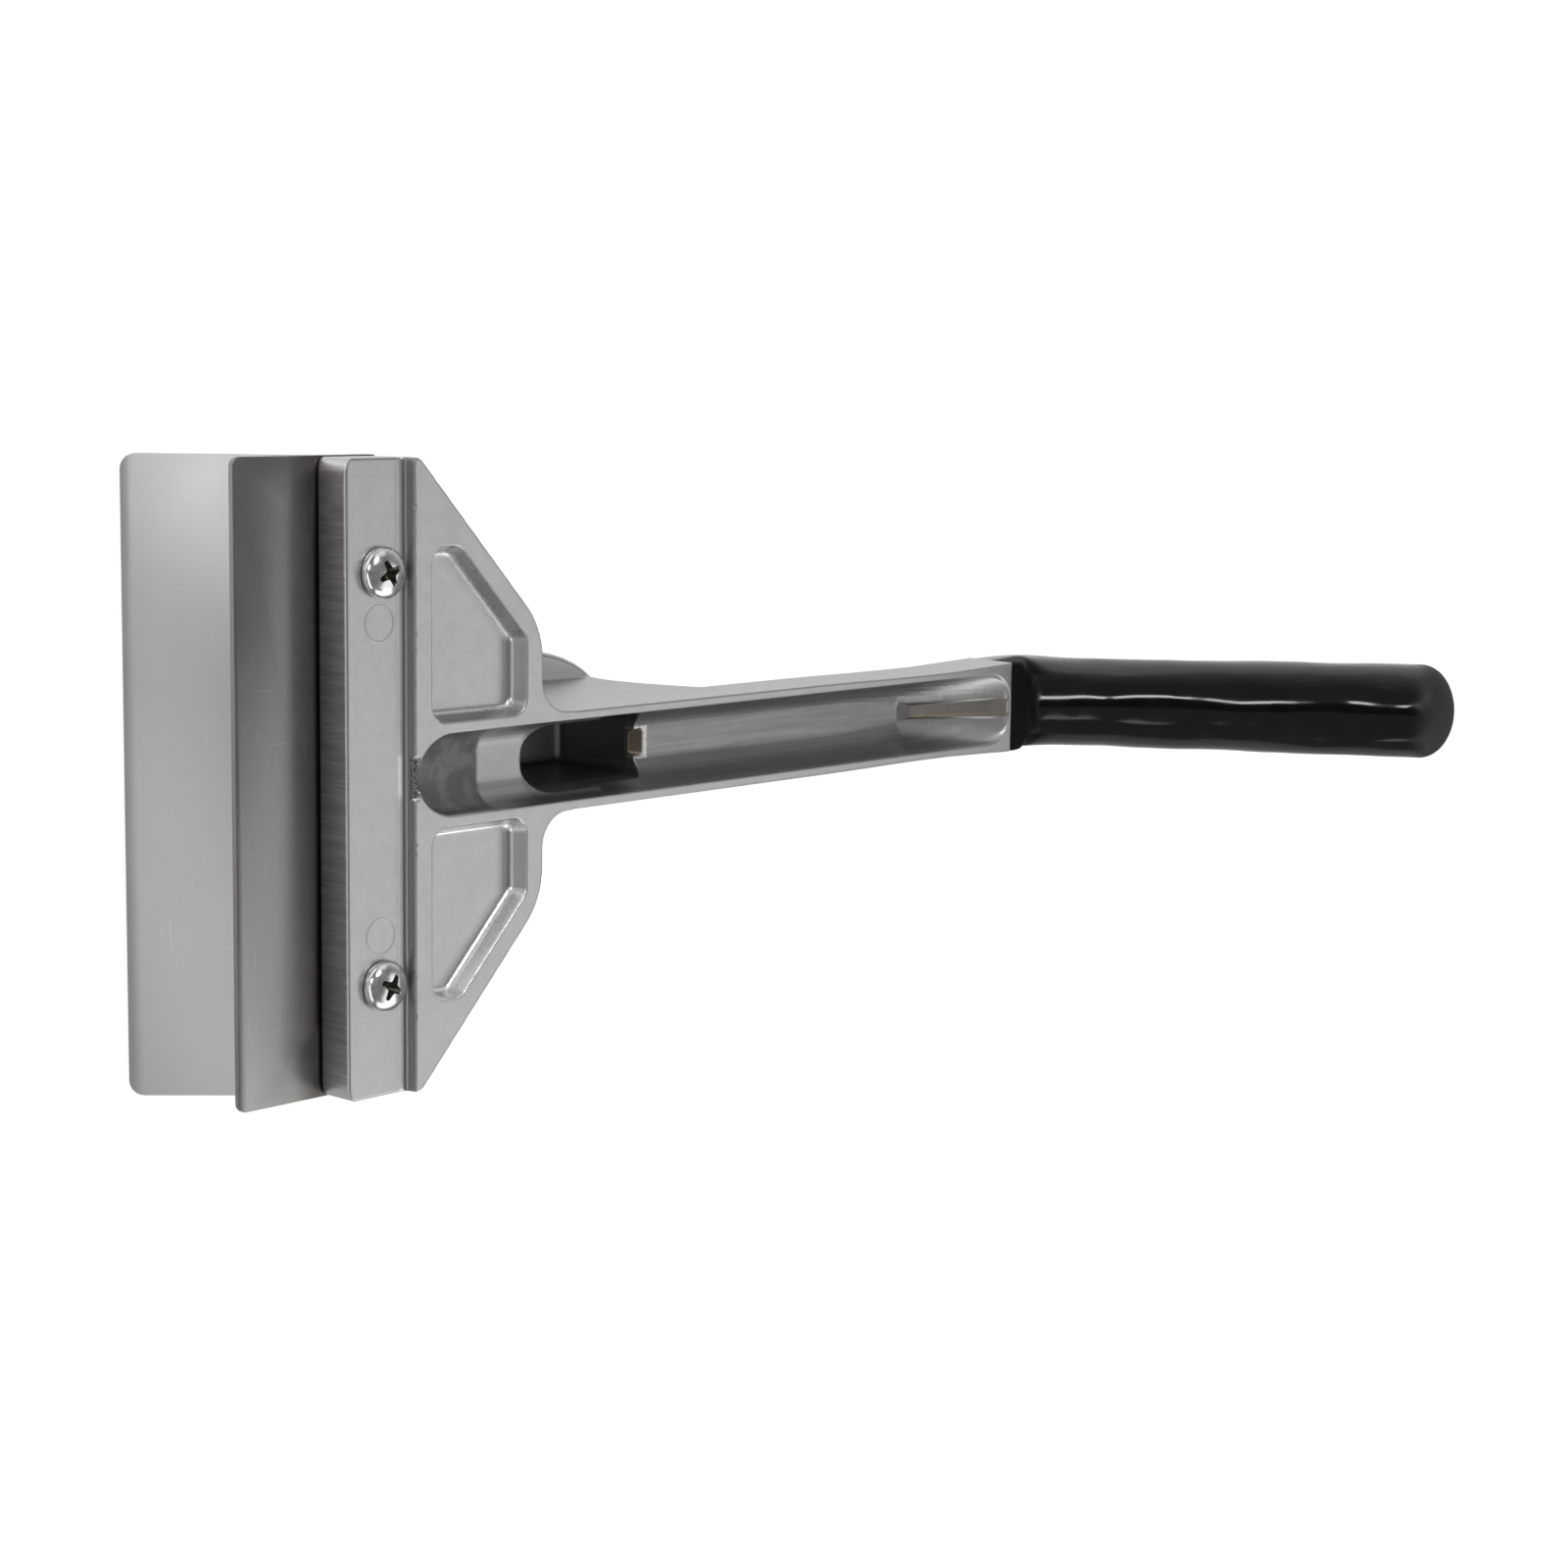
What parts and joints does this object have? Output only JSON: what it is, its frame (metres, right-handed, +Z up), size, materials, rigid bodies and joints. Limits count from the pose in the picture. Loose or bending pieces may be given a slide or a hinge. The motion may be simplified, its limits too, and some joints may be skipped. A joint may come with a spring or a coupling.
{
  "type": "grill scraper",
  "caption": "Grill scraper: a flat and an angled steel blade bolted under a cast aluminium plate, with a trough-shaped arm, a palm pad on its far side and an upright black grip.",
  "frame": {"origin": "centre of the object's box, on the ground plane it rests on", "axes": "+X from the blades to the grip, along the arm; +Y across the blades; +Z up, away from the palm pad. The scraper rests on the palm pad and on the edge of the angled blade, with its underside up."},
  "size_m": [0.3758, 0.1524, 0.1447],
  "materials": {
    "cast_aluminium": "tumbled casting, satin",
    "black_vinyl": "glossy dipped coating",
    "blade_steel": "rolled, fine scratches",
    "clamp_steel": "plain",
    "plated_steel": "bright plated"
  },
  "bodies": {
    "root": {"cast_body": "cast_aluminium", "dipped_grip": "black_vinyl", "straight_blade": "blade_steel", "angled_blade": "blade_steel", "clamp_bar": "clamp_steel", "screw_left": "plated_steel", "screw_right": "plated_steel", "lock_washer_left": "plated_steel", "lock_washer_right": "plated_steel", "nut_left": "plated_steel", "nut_right": "plated_steel"}
  },
  "joints": []
}
